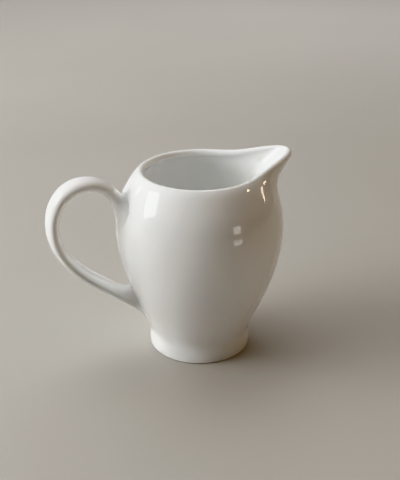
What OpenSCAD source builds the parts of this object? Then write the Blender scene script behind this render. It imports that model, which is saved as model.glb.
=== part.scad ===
// Cream jug of glazed white porcelain, about a quarter of a litre.
// The round body with its pouring lip is one thin-walled casting and the handle
// is another. Each end of the handle is stuck to the body with slip, and the
// slip is drawn out into a smooth fillet. The jug stands on a bare foot ring.
//
// Millimetres. Origin: centre of the foot, on the table. +Z is up, +X points
// towards the pouring lip and -X towards the handle.

/* [Foot] */
// Outside diameter of the foot
foot_d = 50; // [46:0.5:54]
// Height of the foot ring under the base
foot_ring_h = 3; // [2.5:0.1:4]
// Width of the flat band that touches the table
foot_band_w = 2.4; // [1.6:0.1:3]
// Radius of the foot ring's outer bottom edge
foot_edge_r = 0.9; // [0.5:0.1:2.4]
// Radius of the foot ring's inner bottom edge
foot_inner_edge_r = 1.6; // [1:0.1:2.4]

/* [Body] */
// Diameter that the belly swells to
belly_d = 80.4; // [77:0.2:84]
// Diameter of the outline where the rounded rim begins
mouth_d = 57.6; // [54:0.2:61]
// Height of the outline where the rounded rim begins
rim_z = 90.8; // [86:0.2:96]
// Thickness of the wall and of the rounded rim
wall = 3.5; // [2.8:0.1:4]
// Thickness of the floor
floor_t = 3.6; // [3:0.1:5]

/* [Pouring lip] */
// How far the tip of the lip is pulled out past the round mouth
lip_reach = 16; // [8:0.5:18]
// How far the tip of the lip stands above the round mouth
lip_rise = 3.8; // [1:0.2:6]
// Height on the body where the lip begins
lip_start_z = 73.3; // [68:0.1:78]
// Roundness of the lip's nose, as a share of the radius
lip_nose = 0.55; // [0.3:0.01:0.7]
// Width of the lip's channel, as a share of the radius
lip_width = 0.144; // [0.1:0.002:0.18]
// Width of the raised stretch of rim, as a share of the radius
lip_raised_width = 0.19; // [0.12:0.005:0.24]
// How suddenly the lip curls outwards near its edge
lip_curl = 2.8; // [2:0.1:4]
// How suddenly the lip turns up near its edge
lip_flick = 4; // [2:0.1:5]

/* [Handle] */
// Thickness of the handle's oval strap at its top bend
handle_t = 6.8; // [5:0.2:8]
// Width of the handle's oval strap at its middle
handle_w = 13.4; // [10:0.2:15]

/* [Handle joints] */
// Height on the body of the top of the upper joint's patch of slip
upper_joint_top = 82.2; // [81.6:0.2:83.4]
// Height at which the upper joint's patch is widest
upper_joint_middle = 77; // [76:0.2:78.4]
// Height of the bottom of the upper joint's patch
upper_joint_bottom = 63.4; // [62:0.2:65]
// Width of the upper joint's patch
upper_joint_w = 21; // [20:0.2:25]
// Height on the body of the top of the lower joint's patch of slip
lower_joint_top = 35.4; // [35:0.2:36]
// Height at which the lower joint's patch is widest
lower_joint_middle = 26; // [24:0.2:28]
// Height of the bottom of the lower joint's patch
lower_joint_bottom = 13.4; // [12.4:0.2:15]
// Width of the lower joint's patch
lower_joint_w = 18; // [17:0.2:20]
// How deep the slip bites into the wall
slip_bite = 0.1; // [0.1:0.05:0.3]

/* [Smoothness] */
// Points around the body
body_points = 72; // [48:4:80]
// Points around the handle
handle_points = 24; // [16:2:32]

/* [Hidden] */

foot_r = foot_d / 2;
belly_r = belly_d / 2;
mouth_r = mouth_d / 2;

// The outside of the body as control points of a smooth curve: [radius, height].
// It runs up the foot, in at the waist, out round the belly and in to the mouth.
outline = [
    [foot_r + 0.15, foot_ring_h],
    [foot_r - 0.15, rim_z * 0.07],
    [foot_r - 0.2, rim_z * 0.105],
    [foot_r + 1.3, rim_z * 0.154],
    [foot_r + 4.2, rim_z * 0.231],
    [foot_r + 8.6, rim_z * 0.341],
    [belly_r - 2.6, rim_z * 0.474],
    [belly_r - 0.2, rim_z * 0.606],
    [belly_r, rim_z * 0.738],
    [belly_r - 2.15, rim_z * 0.848],
    [belly_r - 6.05, rim_z * 0.925],
    [mouth_r + 2, rim_z * 0.981],
    [mouth_r, rim_z]
];

// The middle of the handle's strap as control points: [distance along X, height].
// It springs up off the shoulder, loops over and sweeps down to the waist.
handle_route = [
    [-38.2, 74.3],
    [-40.3, 85],
    [-51.2, 90.7],
    [-61.2, 88.4],
    [-68.3, 80.4],
    [-70.3, 67.6],
    [-66.5, 55.3],
    [-56.7, 44.2],
    [-44.6, 36.1],
    [-34, 27.4]
];
// Half thickness and half width of the strap, from its upper to its lower end
half_thickness = handle_t / 2 * [0.77, 1.02, 0.86, 0.64];
half_width = handle_w / 2 * [0.74, 1.02, 1.2];

// Stretch of the route that is the handle, as shares of its length: the joints
// take over at both ends
handle_from = 0.09;
handle_to = 0.916;
handle_rings = 48;
joint_rings = 12;

// How long each joint's fillet keeps its direction, as a share of its length: at
// both ends on the outer and on the inner side of the handle's loop, then beside
// the strap where it leaves the strap and where it lands on the wall
upper_hold = [0.25, 0.75, 1.2, 0.1];
lower_hold = [0.82, 0.66, 0.74, 0.74];
// A joint's patch is closed by shrunken copies of its edge, as shares of its size
patch_sizes = [0.6, 0.2];
// The direction out over the patch's edge is measured from this share of its size
near_edge = 0.95;

outside_rings = 26;
rim_rings = 5;
inside_rings = 20;
floor_rings = 5;
// Share of the outline, from the foot up, where the inside turns into the floor
floor_turn = 0.2;
// The floor's last ring is this share of the radius, and flat inside it
floor_centre = 0.15;
// How tightly the wall's inside bends into the floor
floor_corner = 8;
// How much the points around the body crowd towards the lip, in degrees
lip_crowding = 31.5;
// Steps in each rounded edge of the foot ring, and its sides all round
arc_steps = 8;
foot_ring_sides = 96;

glaze_white = [0.93, 0.93, 0.91];
bare_white = [0.9, 0.88, 0.84];

body_angles = [
    for (i = [0:body_points - 1])
        let (even = 360 * i / body_points)
            even - lip_crowding * sin(even)
];
handle_angles = [for (i = [0:handle_points - 1]) 360 * i / handle_points];

// The steps over which slopes are measured: a share of a curve, and degrees
slope_step = 0.002;
slope_angle = 0.5;
// How many times a range is halved to find the share at a height
halvings = 16;

function unit(v) = v / norm(v);
function limit(v, low, high) = max(low, min(high, v));

// A point on the smooth curve (a uniform cubic B-spline) of the control points
// p, which starts at the first one for share 0 and ends at the last for share 1.
function curve(p, share) =
    let (
        last = len(p) - 1,
        along = limit(share, 0, 1) * last,
        i = min(floor(along), last - 1),
        t = along - i,
        before = i > 0 ? p[i - 1] : 2 * p[0] - p[1],
        after = i < last - 1 ? p[i + 2] : 2 * p[last] - p[last - 1]
    )
        (pow(1 - t, 3) * before
            + (3 * pow(t, 3) - 6 * pow(t, 2) + 4) * p[i]
            + (-3 * pow(t, 3) + 3 * pow(t, 2) + 3 * t + 1) * p[i + 1]
            + pow(t, 3) * after) / 6;

// How strongly the lip acts at an angle from its middle: 1 there, 0 far away.
function pull(angle, width) =
    let (away = 2 * sin(angle / 2))
        exp(-(norm([away, lip_nose]) - lip_nose) / width);

// A point on the outside of the body: share runs up the outline from the foot.
function outside(share, angle) =
    let (
        p = curve(outline, share),
        up = limit((p[1] - lip_start_z) / (rim_z - lip_start_z), 0, 1),
        r = p[0] + lip_reach * pow(up, lip_curl) * pull(angle, lip_width),
        z = p[1] + lip_rise * pow(up, lip_flick) * pull(angle, lip_raised_width)
    )
        [r * cos(angle), r * sin(angle), z];

// The direction around the body, and the direction straight out of its wall.
function around(share, angle) =
    unit(outside(share, angle + slope_angle) - outside(share, angle - slope_angle));
function upward(share, angle) =
    outside(min(share + slope_step, 1), angle) - outside(max(share - slope_step, 0), angle);
function outward(share, angle) = unit(cross(around(share, angle), upward(share, angle)));

function inside(share, angle) = outside(share, angle) - wall * outward(share, angle);

// A point on the rounded rim: turn runs from 0 outside to 180 inside.
function rim(turn, angle) =
    let (
        out = outward(1, angle),
        up = cross(out, around(1, angle))
    )
        outside(1, angle) - wall / 2 * out + wall / 2 * (cos(turn) * out + sin(turn) * up);

// A point on the floor's rounded corner and on the floor: share runs inwards.
function floor_point(share, angle) =
    let (
        start = inside(floor_turn, angle),
        level = foot_ring_h + floor_t,
        in = 1 - share * (1 - floor_centre)
    )
        [start[0] * in, start[1] * in, level + (start[2] - level) * pow(in, floor_corner)];

// The closed skin over a stack of rings, each a loop of the same number of
// points that runs anticlockwise seen from the far end of the stack.
module skin(rings) {
    n = len(rings[0]);
    top = (len(rings) - 1) * n;
    polyhedron(
        points = [for (ring = rings) each ring],
        faces = concat(
            [[for (i = [0:n - 1]) i]],
            [
                for (k = [0:len(rings) - 2], i = [0:n - 1])
                    let (a = k * n + i, b = k * n + (i + 1) % n)
                        each [[a, a + n, b + n], [a, b + n, b]]
            ],
            [[for (i = [n - 1:-1:0]) top + i]]
        ),
        convexity = 6
    );
}

module body() {
    color(glaze_white)
        skin(concat(
            [
                for (k = [0:outside_rings])
                    [for (a = body_angles) outside(k / outside_rings, a)]
            ],
            [
                for (k = [1:rim_rings])
                    [for (a = body_angles) rim(180 * k / rim_rings, a)]
            ],
            [
                for (k = [1:inside_rings])
                    let (share = 1 - (1 - floor_turn) * k / inside_rings)
                        [for (a = body_angles) inside(share, a)]
            ],
            [
                for (k = [1:floor_rings])
                    [for (a = body_angles) floor_point(k / floor_rings, a)]
            ]
        ));
}

module foot_ring() {
    outer_r = outline[0][0];
    band_outer_r = outer_r - foot_edge_r;
    band_inner_r = band_outer_r - foot_band_w;
    color(bare_white)
        rotate_extrude($fn = foot_ring_sides)
            polygon(concat(
                [[outer_r, foot_ring_h]],
                [
                    for (k = [0:arc_steps])
                        let (a = 90 * k / arc_steps)
                            [
                                band_outer_r + foot_edge_r * cos(a),
                                foot_edge_r * (1 - sin(a))
                            ]
                ],
                [
                    for (k = [0:arc_steps])
                        let (a = 90 * k / arc_steps)
                            [
                                band_inner_r - foot_inner_edge_r * sin(a),
                                foot_inner_edge_r * (1 - cos(a))
                            ]
                ],
                [[band_inner_r - foot_inner_edge_r, foot_ring_h]]
            ));
}

// One ring of the handle's oval strap, square across its route.
function strap_direction(share) =
    let (v = curve(handle_route, share + slope_step) - curve(handle_route, share - slope_step))
        unit([v[0], 0, v[1]]);
function strap_point(share, angle) =
    let (
        p = curve(handle_route, share),
        along = strap_direction(share)
    )
        [p[0], 0, p[1]]
            + curve(half_thickness, share) * cos(angle) * [along[2], 0, -along[0]]
            + curve(half_width, share) * sin(angle) * [0, 1, 0];

module handle() {
    color(glaze_white)
        skin([
            for (k = [0:handle_rings])
                let (share = handle_from + (handle_to - handle_from) * k / handle_rings)
                    [for (a = handle_angles) strap_point(share, a)]
        ]);
}

// The share of the outline that lies at a height, found by halving the range.
function share_at(z, low = 0, high = 1, left = halvings) =
    let (middle = (low + high) / 2)
        left == 0 ? middle
            : curve(outline, middle)[1] < z ? share_at(z, middle, high, left - 1)
            : share_at(z, low, middle, left - 1);

// A point on the wall behind the handle, sunk in by depth.
function on_wall(z, sideways, depth) =
    let (
        r = curve(outline, share_at(z))[0] - depth,
        angle = 180 - sideways / r * 180 / PI
    )
        [r * cos(angle), r * sin(angle), z];

// The edge of a joint's patch on the wall, shrunk to a share of its size. A patch
// is the heights of its top, widest place and bottom, and its width.
function patch_point(patch, angle, size) =
    let (tall = cos(angle) > 0 ? patch[0] - patch[1] : patch[1] - patch[2])
        on_wall(
            patch[1] + tall * size * cos(angle),
            patch[3] / 2 * size * sin(angle),
            slip_bite
        );

// A point on the fillet between the strap's end, for t 0, and the patch's edge,
// for t 1. It leaves along the first slope and lands along the second.
function fillet(start, first, edge, second, t) =
    (2 * pow(t, 3) - 3 * pow(t, 2) + 1) * start
        + (pow(t, 3) - 2 * pow(t, 2) + t) * first
        + (3 * pow(t, 2) - 2 * pow(t, 3)) * edge
        + (pow(t, 3) - pow(t, 2)) * second;

// One line of the fillet and the patch, from the strap's end at a share of its
// route to the middle of the patch. towards is 1 where the outer side of the
// handle's loop faces up the wall and -1 where it faces down.
function joint_line(share, leaving, patch, towards, hold, angle) =
    let (
        patch_angle = towards > 0 ? angle : 180 - angle,
        start = strap_point(share, angle),
        edge = patch_point(patch, patch_angle, 1),
        along = leaving * unit(
            strap_point(share + slope_step, angle) - strap_point(share - slope_step, angle)
        ),
        spread = unit(edge - patch_point(patch, patch_angle, near_edge)),
        beside = pow(sin(angle), 2),
        held = (hold[0] * (1 + cos(angle)) + hold[1] * (1 - cos(angle))) / 2 * (1 - beside),
        reach = (held + hold[2] * beside) * norm(edge - start),
        landing = (held + hold[3] * beside) * norm(edge - start)
    )
        concat(
            [
                for (k = [0:joint_rings])
                    fillet(start, reach * along, edge, landing * spread, k / joint_rings)
            ],
            [for (size = patch_sizes) patch_point(patch, patch_angle, size)]
        );

// The rings of a joint from the strap's end to the patch on the wall.
function joint_ring_list(share, leaving, patch, towards, hold) =
    let (
        lines = [
            for (a = handle_angles) joint_line(share, leaving, patch, towards, hold, a)
        ]
    )
        [for (k = [0:len(lines[0]) - 1]) [for (line = lines) line[k]]];

function reversed(list) = [for (i = [len(list) - 1:-1:0]) list[i]];

module upper_handle_joint() {
    patch = [upper_joint_top, upper_joint_middle, upper_joint_bottom, upper_joint_w];
    color(glaze_white)
        skin(reversed(joint_ring_list(handle_from, -1, patch, 1, upper_hold)));
}

module lower_handle_joint() {
    patch = [lower_joint_top, lower_joint_middle, lower_joint_bottom, lower_joint_w];
    color(glaze_white)
        skin(joint_ring_list(handle_to, 1, patch, -1, lower_hold));
}

body();
foot_ring();
handle();
upper_handle_joint();
lower_handle_joint();
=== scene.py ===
"""Cream jug of glazed white porcelain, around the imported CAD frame.

The same curves that shape the CAD solids are drawn here as fine smooth meshes.
Shapes are written in millimetres of the design, and MM turns one of them into
metres at the size of the CAD model. Origin: centre of the foot on the floor,
+Z up, +X towards the pouring lip.
"""

import math

import bpy
import numpy as np
from mathutils import Matrix, Vector


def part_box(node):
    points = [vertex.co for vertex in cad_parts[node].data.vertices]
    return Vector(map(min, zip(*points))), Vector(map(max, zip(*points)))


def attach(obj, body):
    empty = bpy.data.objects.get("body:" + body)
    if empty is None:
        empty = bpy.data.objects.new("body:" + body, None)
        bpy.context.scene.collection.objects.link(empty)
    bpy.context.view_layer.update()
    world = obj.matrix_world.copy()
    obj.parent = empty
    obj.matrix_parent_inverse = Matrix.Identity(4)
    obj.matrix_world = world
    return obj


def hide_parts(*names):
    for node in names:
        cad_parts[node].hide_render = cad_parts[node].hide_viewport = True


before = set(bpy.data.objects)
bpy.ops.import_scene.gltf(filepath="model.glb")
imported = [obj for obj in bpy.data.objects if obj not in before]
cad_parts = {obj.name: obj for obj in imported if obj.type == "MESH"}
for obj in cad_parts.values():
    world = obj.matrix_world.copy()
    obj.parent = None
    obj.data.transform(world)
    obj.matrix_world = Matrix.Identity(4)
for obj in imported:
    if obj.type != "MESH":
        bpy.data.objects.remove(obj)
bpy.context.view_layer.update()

# ---------------------------------------------------------------- sizes

# Top of the pouring lip in the design, and one design millimetre in metres
DESIGN_TOP = 97.32
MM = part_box("body")[1].z / DESIGN_TOP

FOOT_R = 25.0
FOOT_RING_H = 3.0
FOOT_BAND_W = 2.4
FOOT_EDGE_R = 0.9
FOOT_INNER_EDGE_R = 1.6
BELLY_R = 40.2
MOUTH_R = 28.8
RIM_Z = 90.8
WALL = 3.5
FLOOR_T = 3.6

# The pouring lip: how far it reaches beyond the mouth and rises above the rim, the
# height where it starts, how blunt its nose is, how wide it is in plan and where it
# is raised, and the powers by which it curls outwards and flicks up
LIP_REACH = 16.0
LIP_RISE = 3.8
LIP_START_Z = 73.3
LIP_NOSE = 0.55
LIP_WIDTH = 0.144
LIP_RAISED_WIDTH = 0.19
LIP_CURL = 2.8
LIP_FLICK = 4.0

# The outside of the body as control points of a smooth curve: radius, height
OUTLINE = np.array([
    (FOOT_R + 0.15, FOOT_RING_H),
    (FOOT_R - 0.15, RIM_Z * 0.07),
    (FOOT_R - 0.2, RIM_Z * 0.105),
    (FOOT_R + 1.3, RIM_Z * 0.154),
    (FOOT_R + 4.2, RIM_Z * 0.231),
    (FOOT_R + 8.6, RIM_Z * 0.341),
    (BELLY_R - 2.6, RIM_Z * 0.474),
    (BELLY_R - 0.2, RIM_Z * 0.606),
    (BELLY_R, RIM_Z * 0.738),
    (BELLY_R - 2.15, RIM_Z * 0.848),
    (BELLY_R - 6.05, RIM_Z * 0.925),
    (MOUTH_R + 2.0, RIM_Z * 0.981),
    (MOUTH_R, RIM_Z),
])
# Share of the outline where the inside turns into the floor, the share of the
# radius inside which the floor is flat, and how tightly the corner bends
FLOOR_TURN = 0.2
FLOOR_CENTRE = 0.15
FLOOR_CORNER = 8

# The middle of the handle's oval strap as control points: x, height
HANDLE_ROUTE = np.array([
    (-38.2, 74.3),
    (-40.3, 85.0),
    (-51.2, 90.7),
    (-61.2, 88.4),
    (-68.3, 80.4),
    (-70.3, 67.6),
    (-66.5, 55.3),
    (-56.7, 44.2),
    (-44.6, 36.1),
    (-34.0, 27.4),
])
# The strap's size, how it changes along the route, and the shares of the route
# where the strap passes into its upper and its lower fillet
HANDLE_T = 6.8
HANDLE_W = 13.4
HALF_THICKNESS = HANDLE_T / 2 * np.array([0.77, 1.02, 0.86, 0.64])
HALF_WIDTH = HANDLE_W / 2 * np.array([0.74, 1.02, 1.2])
HANDLE_FROM = 0.09
HANDLE_TO = 0.916

# The two patches of slip on the wall: heights of top, widest place and bottom, width
UPPER_PATCH = (82.2, 77.0, 63.4, 21.0)
LOWER_PATCH = (35.4, 26.0, 13.4, 18.0)
# How long each joint's fillet keeps its direction, as a share of its length: at both
# ends on the outer and the inner side of the handle's loop, then beside the strap
# where it leaves the strap and where it lands on the wall
UPPER_HOLD = (0.25, 0.75, 1.2, 0.1)
LOWER_HOLD = (0.82, 0.66, 0.74, 0.74)
# The patch lies this deep in the wall, and its edge just proud of the wall
SLIP_BITE = 0.1
EDGE_DEPTH = -0.004
# Shrunken copies of a patch's edge that close it, and the copy from which the
# direction out over the edge is measured, as shares of its size
PATCH_SIZES = (0.6, 0.2)
NEAR_EDGE = 0.98

# Points around each piece, and how much closer together they stand at the lip than
# on average, as a share
BODY_POINTS = 320
STRAP_POINTS = 72
FOOT_POINTS = 256
LIP_CROWDING = 0.55
# Rings under the body, as shares of its lowest edge's size, and numbers of rings on
# the other parts
BASE_SIZES = (0.1, 0.4, 0.7, 0.9)
WALL_RINGS = 120
RIM_RINGS = 20
LINING_RINGS = 89
GROUND_RINGS = 23
STRAP_RINGS = 200
FILLET_RINGS = 48
FOOT_EDGE_RINGS = 16
BAND_RINGS = 4

# Steps over which slopes are measured: round the body, up its outline and along
# the handle's route
ANGLE_STEP = 0.005
OUTLINE_STEP = 0.001
ROUTE_STEP = 0.002
# Places along the outline at which its height is looked up
LOOKUPS = 4001

# ---------------------------------------------------------------- curves


def curve(points, share):
    """Points of the uniform cubic B-spline of the control points, for shares 0 to 1."""
    p = np.asarray(points, float)
    p = p.reshape(len(p), -1)
    last = len(p) - 1
    p = np.vstack([2 * p[0] - p[1], p, 2 * p[-1] - p[-2]])
    along = np.clip(share, 0, 1) * last
    i = np.minimum(along.astype(int), last - 1)
    t = (along - i)[..., None]
    return (
        (1 - t) ** 3 * p[i]
        + (3 * t**3 - 6 * t**2 + 4) * p[i + 1]
        + (-3 * t**3 + 3 * t**2 + 3 * t + 1) * p[i + 2]
        + t**3 * p[i + 3]
    ) / 6


def unit(vectors):
    return vectors / np.linalg.norm(vectors, axis=-1, keepdims=True)


def smooth_step(value, low, high):
    """A smooth rise from 0 where value is low to 1 where it is high."""
    t = np.clip((value - low) / (high - low), 0, 1)
    return t * t * (3 - 2 * t)


def pull(angle, width):
    """How strongly the lip acts at an angle from its middle."""
    away = 2 * np.sin(angle / 2)
    return np.exp(-(np.hypot(away, LIP_NOSE) - LIP_NOSE) / width)


def outside(share, angle):
    """Grid of points on the outside of the body: rings up the outline."""
    share, angle = np.asarray(share, float)[:, None], np.asarray(angle, float)[None, :]
    p = curve(OUTLINE, share)
    up = np.clip((p[..., 1] - LIP_START_Z) / (RIM_Z - LIP_START_Z), 0, 1)
    r = p[..., 0] + LIP_REACH * up**LIP_CURL * pull(angle, LIP_WIDTH)
    z = p[..., 1] + LIP_RISE * up**LIP_FLICK * pull(angle, LIP_RAISED_WIDTH)
    return np.stack([r * np.cos(angle), r * np.sin(angle), z + 0 * angle], -1)


def around(share, angle):
    """Unit vectors along the rings of the outside, towards larger angles."""
    return unit(outside(share, angle + ANGLE_STEP) - outside(share, angle - ANGLE_STEP))


def outward(share, angle):
    """Unit normals of the outside of the body."""
    share = np.asarray(share, float)
    above = outside(np.minimum(share + OUTLINE_STEP, 1), angle)
    below = outside(np.maximum(share - OUTLINE_STEP, 0), angle)
    return unit(np.cross(around(share, angle), above - below))


def inside(share, angle):
    """Grid of points on the inside of the body, one wall's thickness in."""
    return outside(share, angle) - WALL * outward(share, angle)


def rim(turn, angle):
    """Rings over the rounded rim, for turns from 0 outside to pi inside."""
    out = outward([1.0], angle)
    up = np.cross(out, around([1.0], angle))
    turn = np.asarray(turn, float)[:, None, None]
    middle = outside([1.0], angle) - WALL / 2 * out
    return middle + WALL / 2 * (np.cos(turn) * out + np.sin(turn) * up)


def floor_rings(share, angle):
    """Rings down the floor's rounded corner and over the floor, for shares 0 to 1."""
    start = inside([FLOOR_TURN], angle)
    level = FOOT_RING_H + FLOOR_T
    shrink = (1 - np.asarray(share, float) * (1 - FLOOR_CENTRE))[:, None]
    z = level + (start[..., 2] - level) * shrink**FLOOR_CORNER
    return np.stack([start[..., 0] * shrink, start[..., 1] * shrink, z], -1)


def strap(share, angle):
    """Grid of points on the handle's oval strap: rings along its route."""
    share = np.asarray(share, float)
    middle = curve(HANDLE_ROUTE, share)
    ahead, behind = curve(HANDLE_ROUTE, share + ROUTE_STEP), curve(HANDLE_ROUTE, share - ROUTE_STEP)
    along = unit(ahead - behind)
    thick = curve(HALF_THICKNESS, share) * np.cos(angle)
    wide = curve(HALF_WIDTH, share) * np.sin(angle)
    return np.stack(
        [middle[:, :1] + thick * along[:, 1:], wide, middle[:, 1:] - thick * along[:, :1]], -1
    )


def outline_share(z):
    """The share of the outline that lies at a height."""
    shares = np.linspace(0, 1, LOOKUPS)
    return np.interp(z, curve(OUTLINE, shares)[:, 1], shares)


def on_wall(z, sideways, depth):
    """Points on the wall behind the handle, sunk in by depth."""
    r = curve(OUTLINE, outline_share(z))[..., 0] - depth
    angle = math.pi - sideways / r
    return np.stack([r * np.cos(angle), r * np.sin(angle), z], -1)


def patch_ring(patch, angle, size, depth):
    """The edge of a joint's patch on the wall, shrunk to a share of its size."""
    top, middle, bottom, width = patch
    tall = np.where(np.cos(angle) > 0, top - middle, middle - bottom)
    z = middle + tall * size * np.cos(angle)
    return on_wall(z, width / 2 * size * np.sin(angle), depth)


def joint_rings(strap_share, leaving, patch, towards, hold, angle):
    """Rings from the strap's end through the fillet to the middle of the patch.

    The fillet leaves along the strap's own surface and lands lying along the
    wall. leaving is 1 where it goes on along the route and -1 where it goes back.
    towards is 1 where the outer side of the handle's loop faces up the wall, and
    -1 where it faces down.
    """
    start, ahead, behind = strap(
        [strap_share, strap_share + ROUTE_STEP, strap_share - ROUTE_STEP], angle
    )
    along = leaving * unit(ahead - behind)
    patch_angle = angle if towards > 0 else math.pi - angle
    edge = patch_ring(patch, patch_angle, 1.0, EDGE_DEPTH)
    spread = unit(edge - patch_ring(patch, patch_angle, NEAR_EDGE, EDGE_DEPTH))
    beside = np.sin(angle) ** 2
    held = (hold[0] * (1 + np.cos(angle)) + hold[1] * (1 - np.cos(angle))) / 2 * (1 - beside)
    length = np.linalg.norm(edge - start, axis=-1)[:, None]
    reach = (held + hold[2] * beside)[:, None] * length
    landing = (held + hold[3] * beside)[:, None] * length
    t = np.linspace(0, 1, FILLET_RINGS)[:, None, None]
    fillet = (
        (2 * t**3 - 3 * t**2 + 1) * start
        + (t**3 - 2 * t**2 + t) * reach * along
        + (3 * t**2 - 2 * t**3) * edge
        + (t**3 - t**2) * landing * spread
    )
    closing = [patch_ring(patch, patch_angle, size, SLIP_BITE) for size in PATCH_SIZES]
    return np.concatenate([fillet, closing])


# ---------------------------------------------------------------- meshes

# Bend of the surface, as the sum of its two curvatures per millimetre: where the
# glaze starts to pool and is deepest in a hollow, and where it starts to thin and
# is thinnest over an edge
HOLLOW_BEND = (0.05, 0.5)
EDGE_BEND = (0.3, 1.2)
# Heights on the foot ring in design millimetres below which it is bare and above
# which it is glazed
BARE_BELOW = 0.15
GLAZED_ABOVE = 0.75


def glaze_depth(rings):
    """0 where the glaze thins over a sharp bend, 1 where it pools in a hollow."""
    before, after = np.roll(rings, 1, 1), np.roll(rings, -1, 1)
    lower = np.concatenate([2 * rings[:1] - rings[1:2], rings[:-1]])
    upper = np.concatenate([rings[1:], 2 * rings[-1:] - rings[-2:-1]])
    normal = unit(np.cross(after - before, upper - lower) + 1e-12)
    bend = 0
    for other in (before, after, lower, upper):
        away = other - rings
        length = np.maximum((away**2).sum(-1), 1e-6)
        bend = bend + (away * normal).sum(-1) / length
    return 0.5 + 0.5 * smooth_step(bend, *HOLLOW_BEND) - 0.5 * smooth_step(-bend, *EDGE_BEND)


def full_turn(count):
    return np.arange(count) * 2 * math.pi / count


def steps_after(start, stop, count):
    """Evenly spaced values from start to stop, without start itself."""
    return np.linspace(start, stop, count + 1)[1:]


def ring_quads(index):
    """Quads between each row of a grid of point numbers and the next row."""
    beside = np.roll(index, -1, 1)
    return np.stack([index[:-1], beside[:-1], beside[1:], index[1:]], -1).reshape(-1, 4).tolist()


def smooth_piece(name, points, faces, values, ring_of, sharp):
    """A smooth piece whose points carry named values, with corners on some rings.

    ring_of is the number of each point's ring, and sharp names the rings where the
    surface has a real corner.
    """
    mesh = bpy.data.meshes.new(name)
    mesh.from_pydata((points * MM).tolist(), [], faces)
    mesh.shade_smooth()
    for key, value in values.items():
        layer = mesh.attributes.new(key, "FLOAT", "POINT")
        layer.data.foreach_set("value", value.astype(np.float32))
    ends = np.zeros(len(mesh.edges) * 2, int)
    mesh.edges.foreach_get("vertices", ends)
    one_end, other_end = ring_of[ends.reshape(-1, 2)].T
    layer = mesh.attributes.new("sharp_edge", "BOOLEAN", "EDGE")
    layer.data.foreach_set("value", (one_end == other_end) & np.isin(one_end, sharp))
    piece = bpy.data.objects.new(name, mesh)
    bpy.context.scene.collection.objects.link(piece)
    return piece


def capped_piece(name, rings, sharp):
    """A closed piece over a stack of rings, with a cap on each end ring.

    The rings run anticlockwise seen from the far end of the stack.
    """
    count, around_n = rings.shape[:2]
    index = np.arange(count * around_n).reshape(count, around_n)
    beside = np.roll(index, -1, 1)
    first, last = index.size, index.size + 1
    faces = ring_quads(index)
    faces += [[first, b, a] for a, b in zip(index[0].tolist(), beside[0].tolist())]
    faces += [[last, a, b] for a, b in zip(index[-1].tolist(), beside[-1].tolist())]
    points = np.vstack([rings.reshape(-1, 3), rings[0].mean(0), rings[-1].mean(0)])
    depth = glaze_depth(rings)
    values = {"glaze": np.append(depth.ravel(), [depth[0].mean(), depth[-1].mean()])}
    # the middles of the two caps are on no ring
    ring_of = np.append(np.repeat(np.arange(count), around_n), [-1, -2])
    return smooth_piece(name, points, faces, values, ring_of, sharp)


def body_piece():
    even = full_turn(BODY_POINTS)
    angle = even - LIP_CROWDING * np.sin(even)
    edge = outside([0.0], angle)
    sizes = np.array(BASE_SIZES)[:, None, None]
    base = edge * np.array([1, 1, 0]) * sizes + edge * np.array([0, 0, 1])
    wall = outside(np.linspace(0, 1, WALL_RINGS), angle)
    crown = rim(steps_after(0, math.pi, RIM_RINGS), angle)
    lining = inside(steps_after(1, FLOOR_TURN, LINING_RINGS), angle)
    ground = floor_rings(steps_after(0, 1, GROUND_RINGS), angle)
    rings = np.concatenate([base, wall, crown, lining, ground])
    return capped_piece("jug_body", rings, [len(base)])


def handle_piece():
    rings = strap(np.linspace(HANDLE_FROM, HANDLE_TO, STRAP_RINGS), full_turn(STRAP_POINTS))
    return capped_piece("loop_handle", rings, [0, len(rings) - 1])


def upper_joint_piece():
    angle = full_turn(STRAP_POINTS)
    # turned over, because this fillet goes back along the route
    rings = joint_rings(HANDLE_FROM, -1, UPPER_PATCH, 1, UPPER_HOLD, angle)[::-1]
    return capped_piece("upper_slip_joint", rings, [len(PATCH_SIZES), len(rings) - 1])


def lower_joint_piece():
    angle = full_turn(STRAP_POINTS)
    rings = joint_rings(HANDLE_TO, 1, LOWER_PATCH, -1, LOWER_HOLD, angle)
    return capped_piece("lower_slip_joint", rings, [0, len(rings) - 1 - len(PATCH_SIZES)])


def foot_profile():
    """Radius and height round the foot ring: outer edge, standing band, inner edge, top."""
    outer_r = OUTLINE[0, 0]
    band_outer = outer_r - FOOT_EDGE_R
    band_inner = band_outer - FOOT_BAND_W
    turn = np.linspace(0, math.pi / 2, FOOT_EDGE_RINGS)
    outer = np.stack(
        [band_outer + FOOT_EDGE_R * np.cos(turn), FOOT_EDGE_R * (1 - np.sin(turn))], -1
    )
    band = np.linspace([band_outer, 0], [band_inner, 0], BAND_RINGS + 2)[1:-1]
    inner_r = band_inner - FOOT_INNER_EDGE_R * np.sin(turn)
    inner = np.stack([inner_r, FOOT_INNER_EDGE_R * (1 - np.cos(turn))], -1)
    return np.vstack([[outer_r, FOOT_RING_H], outer, band, inner, [inner_r[-1], FOOT_RING_H]])


def foot_ring_piece():
    # the profile runs from the outside down and in, so it is turned over to face out
    profile = foot_profile()[::-1]
    angle = full_turn(FOOT_POINTS)
    r, z = profile[:, :1], profile[:, 1:] + 0 * angle
    rings = np.stack([r * np.cos(angle), r * np.sin(angle), z], -1)
    index = np.arange(z.size).reshape(z.shape)
    faces = ring_quads(np.vstack([index, index[:1]]))
    bare = 1 - smooth_step(z, BARE_BELOW, GLAZED_ABOVE)
    values = {"glaze": glaze_depth(rings).ravel(), "bare": bare.ravel()}
    ring_of = np.repeat(np.arange(len(rings)), FOOT_POINTS)
    sharp = [0, len(rings) - 1]
    return smooth_piece("standing_ring", rings.reshape(-1, 3), faces, values, ring_of, sharp)


# ---------------------------------------------------------------- materials

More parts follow.
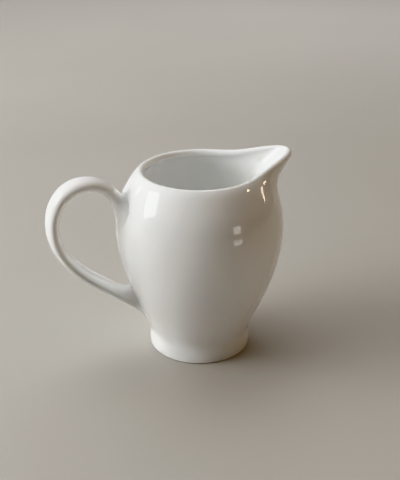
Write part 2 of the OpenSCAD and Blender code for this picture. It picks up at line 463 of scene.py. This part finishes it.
# Glaze where it is thin, even and pooled, and in its faint clouds
THIN_GLAZE = (0.925, 0.915, 0.895)
EVEN_GLAZE = (0.918, 0.918, 0.908)
POOLED_GLAZE = (0.865, 0.885, 0.88)
CLOUDED_GLAZE = (0.903, 0.911, 0.905)
# Bare fired porcelain, and the same where the jug's standing has worn it
BISCUIT = (0.80, 0.765, 0.71)
WORN_BISCUIT = (0.66, 0.61, 0.54)

# Noise patterns: size of a patch in metres, levels of detail and their roughness
CLOUDS = (0.022, 3.0, 0.5)
GLOSS_PATCHES = (0.009, 4.0, 0.5)
SWELL = (0.016, 1.0, 0.5)
PEEL = (0.0022, 2.0, 0.5)
RAGGED_EDGE = (0.0016, 3.0, 0.5)
WEAR = (0.0035, 5.0, 0.7)
GRAIN = (0.0004, 4.0, 0.7)
FLOOR_PATCHES = (0.3, 2.0, 0.5)
# The range in which nearly all of a noise pattern lies
NOISE_RANGE = (0.3, 0.7)

# Heights of the relief in metres
SWELL_H = 0.00003
PEEL_H = 0.0000015
GRAIN_H = 0.00002

# The glaze's roughness where it is smoothest and dullest, and its clear coat
GLAZE_ROUGHNESS = (0.025, 0.05)
GLAZE_COAT = 0.35
# Roughness on the foot ring, where the glaze is thin and dull, and where it is bare
FOOT_GLAZE_ROUGHNESS = 0.08
BARE_ROUGHNESS = 0.72
# How far the glaze's edge wanders, and the bareness over which it gives out
EDGE_WANDER = (-0.22, 0.22)
GLAZE_ENDS = (0.42, 0.58)
# The part of the wear pattern that shows, from untouched to worn through
WEAR_RANGE = (0.42, 0.68)

# Light enters the porcelain a little, under a clear smooth coat
PORCELAIN = {
    "IOR": 1.5,
    "Subsurface Weight": 0.1,
    "Subsurface Radius": (1.0, 0.85, 0.7),
    "Subsurface Scale": 0.002,
    "Coat Roughness": 0.02,
}

# Numbers of a Mix node's sockets: its two inputs and its result
MIX_SOCKETS = {"FLOAT": (2, 3, 0), "RGBA": (6, 7, 2)}


def opaque(colour):
    return (*colour, 1)


class Nodes:
    """Short calls for building one material's node tree."""

    def __init__(self, name):
        self.material = bpy.data.materials.new(name)
        self.material.use_nodes = True
        self.tree = self.material.node_tree
        self.shader = self.tree.nodes["Principled BSDF"]

    def feed(self, node, inputs):
        """Link each input where its value is a socket, and set it where it isn't."""
        for key, value in inputs.items():
            if isinstance(value, bpy.types.NodeSocket):
                self.tree.links.new(value, node.inputs[key])
            else:
                node.inputs[key].default_value = value

    def add(self, kind, inputs, **settings):
        node = self.tree.nodes.new(kind)
        for key, value in settings.items():
            setattr(node, key, value)
        self.feed(node, inputs)
        return node

    def position(self):
        return self.add("ShaderNodeTexCoord", {}).outputs["Object"]

    def attribute(self, name):
        return self.add("ShaderNodeAttribute", {}, attribute_name=name).outputs["Fac"]

    def noise(self, pattern):
        size, detail, roughness = pattern
        inputs = {"Scale": 1 / size, "Detail": detail, "Roughness": roughness}
        return self.add(
            "ShaderNodeTexNoise", {"Vector": self.position(), **inputs}
        ).outputs["Fac"]

    def remap(self, source, source_range, result_range):
        (low, high), (to_low, to_high) = source_range, result_range
        ranges = {"From Min": low, "From Max": high, "To Min": to_low, "To Max": to_high}
        return self.add("ShaderNodeMapRange", {"Value": source, **ranges}).outputs["Result"]

    def ramp(self, source, stops):
        node = self.add("ShaderNodeValToRGB", {"Fac": source})
        elements = node.color_ramp.elements
        while len(elements) < len(stops):
            elements.new(1.0)
        for element, (place, colour) in zip(elements, stops):
            element.position = place
            element.color = opaque(colour)
        return node.outputs["Color"]

    def mix(self, factor, a, b, data_type="RGBA"):
        """Gives a where factor is 0 and b where it is 1."""
        first, second, result = MIX_SOCKETS[data_type]
        inputs = {0: factor, first: a, second: b}
        return self.add("ShaderNodeMix", inputs, data_type=data_type).outputs[result]

    def bump(self, height, distance, normal=None):
        node = self.add("ShaderNodeBump", {"Distance": distance, "Height": height})
        if normal:
            self.feed(node, {"Normal": normal})
        return node.outputs["Normal"]


def glaze_colour(nodes):
    """White that thins warm over bends and pools cooler in the hollows."""
    depth = nodes.ramp(
        nodes.attribute("glaze"),
        [(0.0, THIN_GLAZE), (0.5, EVEN_GLAZE), (1.0, POOLED_GLAZE)],
    )
    cloud = nodes.remap(nodes.noise(CLOUDS), NOISE_RANGE, (0, 1))
    return nodes.mix(cloud, depth, opaque(CLOUDED_GLAZE))


def glaze_normal(nodes):
    """The slow swell of a glaze that ran, and the fine orange peel on top of it."""
    swell = nodes.bump(nodes.noise(SWELL), SWELL_H)
    return nodes.bump(nodes.noise(PEEL), PEEL_H, swell)


def glazed_porcelain():
    nodes = Nodes("glazed_porcelain")
    roughness = nodes.remap(nodes.noise(GLOSS_PATCHES), NOISE_RANGE, GLAZE_ROUGHNESS)
    nodes.feed(nodes.shader, {
        "Base Color": glaze_colour(nodes),
        "Roughness": roughness,
        "Normal": glaze_normal(nodes),
        "Coat Weight": GLAZE_COAT,
        **PORCELAIN,
    })
    return nodes.material


def foot_porcelain():
    """Glaze that stops short of the table, and the bare ground band under it."""
    nodes = Nodes("bare_porcelain")
    ragged = nodes.remap(nodes.noise(RAGGED_EDGE), NOISE_RANGE, EDGE_WANDER)
    edge = nodes.add(
        "ShaderNodeMath", {0: nodes.attribute("bare"), 1: ragged}, operation="ADD"
    ).outputs["Value"]
    bare = nodes.remap(edge, GLAZE_ENDS, (0, 1))
    wear = nodes.remap(nodes.noise(WEAR), WEAR_RANGE, (0, 1))
    biscuit = nodes.mix(wear, opaque(BISCUIT), opaque(WORN_BISCUIT))
    nodes.feed(nodes.shader, {
        "Base Color": nodes.mix(bare, glaze_colour(nodes), biscuit),
        "Roughness": nodes.mix(bare, FOOT_GLAZE_ROUGHNESS, BARE_ROUGHNESS, "FLOAT"),
        "Coat Weight": nodes.mix(bare, GLAZE_COAT, 0.0, "FLOAT"),
        "Normal": nodes.bump(nodes.noise(GRAIN), GRAIN_H, glaze_normal(nodes)),
        **PORCELAIN,
    })
    return nodes.material


# ---------------------------------------------------------------- studio

# A round floor: its radius, and the distance at which it starts to glow with painted light,
# brightening into the backdrop, in metres
FLOOR_R = 1.65
GLOW_FROM = 0.35
FLOOR_POINTS = 128
FLOOR_ROUGHNESS = 0.55
FLOOR_COLOURS = (0.462, 0.438, 0.402), (0.487, 0.463, 0.427)
# What the camera sees behind the floor, and the light of the room from all sides
BACKDROP_COLOUR = (0.36, 0.35, 0.335)
ROOM_AMBIENT = (0.060, 0.044, 0.026)

WINDOW_COLOUR = (0.97, 0.99, 1.0)
SKY_COLOUR = (0.96, 0.985, 1.0)
LAMP_COLOUR = (1.0, 0.80, 0.58)
ROOM_COLOUR = (1.0, 0.70, 0.43)

# Points of the jug that lights face, in design millimetres
MIDDLE = (0, 0, DESIGN_TOP / 2)
SHOULDER = (21.8, -24.8, 86.2)
NEAR_RIM = (14.2, -27.4, 89.0)
BELLY = (6, -38, 73)

# Lights that have no mirror image in the glaze: azimuth and elevation in degrees,
# distance, width and height in metres, radiance, colour
SOFT_LIGHTS = {
    "window": (169.5, 27, 1.0, 0.44, 0.50, 8.0, WINDOW_COLOUR),
    "window_glow": (169.5, 27, 1.0, 1.0, 0.8, 3.1, WINDOW_COLOUR),
    "back_left": (100, 60, 1.2, 0.9, 0.9, 2.4, SKY_COLOUR),
    "back_right": (60, 35, 1.2, 0.9, 0.9, 1.1, SKY_COLOUR),
    "overhead": (0, 88, 1.2, 0.9, 0.9, 0.25, SKY_COLOUR),
    "left_fill": (-160, 45, 1.2, 0.9, 0.9, 0.1, SKY_COLOUR),
    "room_fill": (-20, 30, 1.2, 0.9, 0.9, 0.78, ROOM_COLOUR),
}
# Panes that show only in the gloss: the same, then how far they are
# turned in their own plane, in degrees, and the point that they face
MIRRORED_PANES = {
    "near_window": (171.5, 28, 1.0, 0.32, 0.44, 7.0, WINDOW_COLOUR, 38, MIDDLE),
    "side_window": (137, 17, 1.0, 0.13, 0.24, 4.0, WINDOW_COLOUR, 20, MIDDLE),
    "strip_lamp": (3.3, 12.0, 1.0, 0.03, 0.10, 9.0, LAMP_COLOUR, 20, SHOULDER),
    "lamp": (-11.6, 33.1, 1.0, 0.06, 0.06, 35.0, LAMP_COLOUR, 0, NEAR_RIM),
    "far_window": (-56, 8, 0.3, 0.058, 0.056, 2.8, WINDOW_COLOUR, 0, BELLY),
    "far_window_foot": (-56, -9, 0.3, 0.064, 0.034, 2.4, WINDOW_COLOUR, 0, BELLY),
}
# Light bounces many times between white walls before it leaves the jug
DIFFUSE_BOUNCES = 12

# Where the camera stands, in design millimetres, and how it is turned, in degrees:
# about +Z, up from straight down, and about its own line of sight
CAMERA_PLACE = (-96.8, -321.5, 213.5)
CAMERA_TURNS = (-16.793, 64.676, -0.043)
# In millimetres, as camera makers give them
SENSOR_WIDTH = 36.0
LENS = 57.65


def direction(azimuth, elevation):
    """Unit vector at an azimuth from +X towards +Y and an elevation, in degrees."""
    a, e = math.radians(azimuth), math.radians(elevation)
    return Vector((math.cos(a) * math.cos(e), math.sin(a) * math.cos(e), math.sin(e)))


def area_light(
    name, azimuth, elevation, distance, width, height, radiance, colour, tilt=0, aim=MIDDLE
):
    """A rectangular light that faces a point of the jug, turned by tilt in its plane."""
    data = bpy.data.lights.new(name, "AREA")
    data.shape = "RECTANGLE"
    data.size, data.size_y = width, height
    data.energy = math.pi * width * height * radiance
    data.color = colour
    light = bpy.data.objects.new(name, data)
    towards = direction(azimuth, elevation)
    light.location = Vector(aim) * MM + distance * towards
    facing = (-towards).to_track_quat("-Z", "Y").to_matrix()
    light.rotation_euler = (facing @ Matrix.Rotation(math.radians(tilt), 3, "Z")).to_euler()
    bpy.context.scene.collection.objects.link(light)
    return light


def room():
    """A dim warm room that lights the jug, where the camera sees a pale backdrop."""
    world = bpy.data.worlds.new("studio_room")
    world.use_nodes = True
    nodes, links = world.node_tree.nodes, world.node_tree.links
    ambient, backdrop = nodes["Background"], nodes.new("ShaderNodeBackground")
    ambient.inputs["Color"].default_value = opaque(ROOM_AMBIENT)
    backdrop.inputs["Color"].default_value = opaque(BACKDROP_COLOUR)
    seen = nodes.new("ShaderNodeLightPath").outputs["Is Camera Ray"]
    mix = nodes.new("ShaderNodeMixShader")
    for source, target in ((seen, 0), (ambient.outputs[0], 1), (backdrop.outputs[0], 2)):
        links.new(source, mix.inputs[target])
    links.new(mix.outputs[0], nodes["World Output"].inputs["Surface"])
    return world


def studio():
    """A window on the handle's side, soft boxes round the back and a warm room.

    The soft lights and the panes that the glaze mirrors are separate, so that
    each mirrored pane stays a soft patch.
    """
    for name, placing in SOFT_LIGHTS.items():
        light = area_light(name, *placing)
        light.visible_glossy = False
    for name, placing in MIRRORED_PANES.items():
        pane = area_light(name, *placing)
        pane.visible_diffuse = False
        pane.visible_camera = False
    bpy.context.scene.world = room()
    bpy.context.scene.view_settings.view_transform = "Khronos PBR Neutral"
    bpy.context.scene.cycles.diffuse_bounces = DIFFUSE_BOUNCES


def floor_material():
    """A pale matt floor that glows far from the jug, painted light that brightens it into the
    backdrop.
    """
    nodes = Nodes("pale_floor")
    tone = nodes.remap(nodes.noise(FLOOR_PATCHES), NOISE_RANGE, (0, 1))
    away = nodes.add("ShaderNodeVectorMath", {0: nodes.position()}, operation="LENGTH")
    nodes.feed(nodes.shader, {
        "Base Color": nodes.mix(tone, *map(opaque, FLOOR_COLOURS)),
        "Roughness": FLOOR_ROUGHNESS,
        # painted light: the floor glows in the backdrop's colour, more strongly further from the
        # jug
        "Emission Color": opaque(BACKDROP_COLOUR),
        "Emission Strength": nodes.remap(away.outputs["Value"], (GLOW_FROM, FLOOR_R), (0, 1)),
    })
    return nodes.material


def floor():
    mesh = bpy.data.meshes.new("floor")
    edge = [(FLOOR_R * math.cos(a), FLOOR_R * math.sin(a), 0) for a in full_turn(FLOOR_POINTS)]
    mesh.from_pydata(edge, [], [range(len(edge))])
    piece = bpy.data.objects.new("floor", mesh)
    piece.data.materials.append(floor_material())
    bpy.context.scene.collection.objects.link(piece)


def camera():
    """The camera stands in front of the jug, a little towards the handle."""
    data = bpy.data.cameras.new("camera")
    data.sensor_width = SENSOR_WIDTH
    data.lens = LENS
    view = bpy.data.objects.new("camera", data)
    view.matrix_world = Matrix.Translation(Vector(CAMERA_PLACE) * MM)
    for turn, axis in zip(CAMERA_TURNS, "ZXZ"):
        view.matrix_world @= Matrix.Rotation(math.radians(turn), 4, axis)
    bpy.context.scene.collection.objects.link(view)
    bpy.context.scene.camera = view


# ---------------------------------------------------------------- the jug


def add(piece, node, material):
    """Let a piece stand for a CAD node, with a material of its own."""
    piece.data.materials.append(material)
    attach(piece, "root")
    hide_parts(node)


camera()
glaze = glazed_porcelain()
add(body_piece(), "body", glaze)
add(handle_piece(), "handle", glaze)
add(upper_joint_piece(), "upper_handle_joint", glaze)
add(lower_joint_piece(), "lower_handle_joint", glaze)
add(foot_ring_piece(), "foot_ring", foot_porcelain())
floor()
studio()
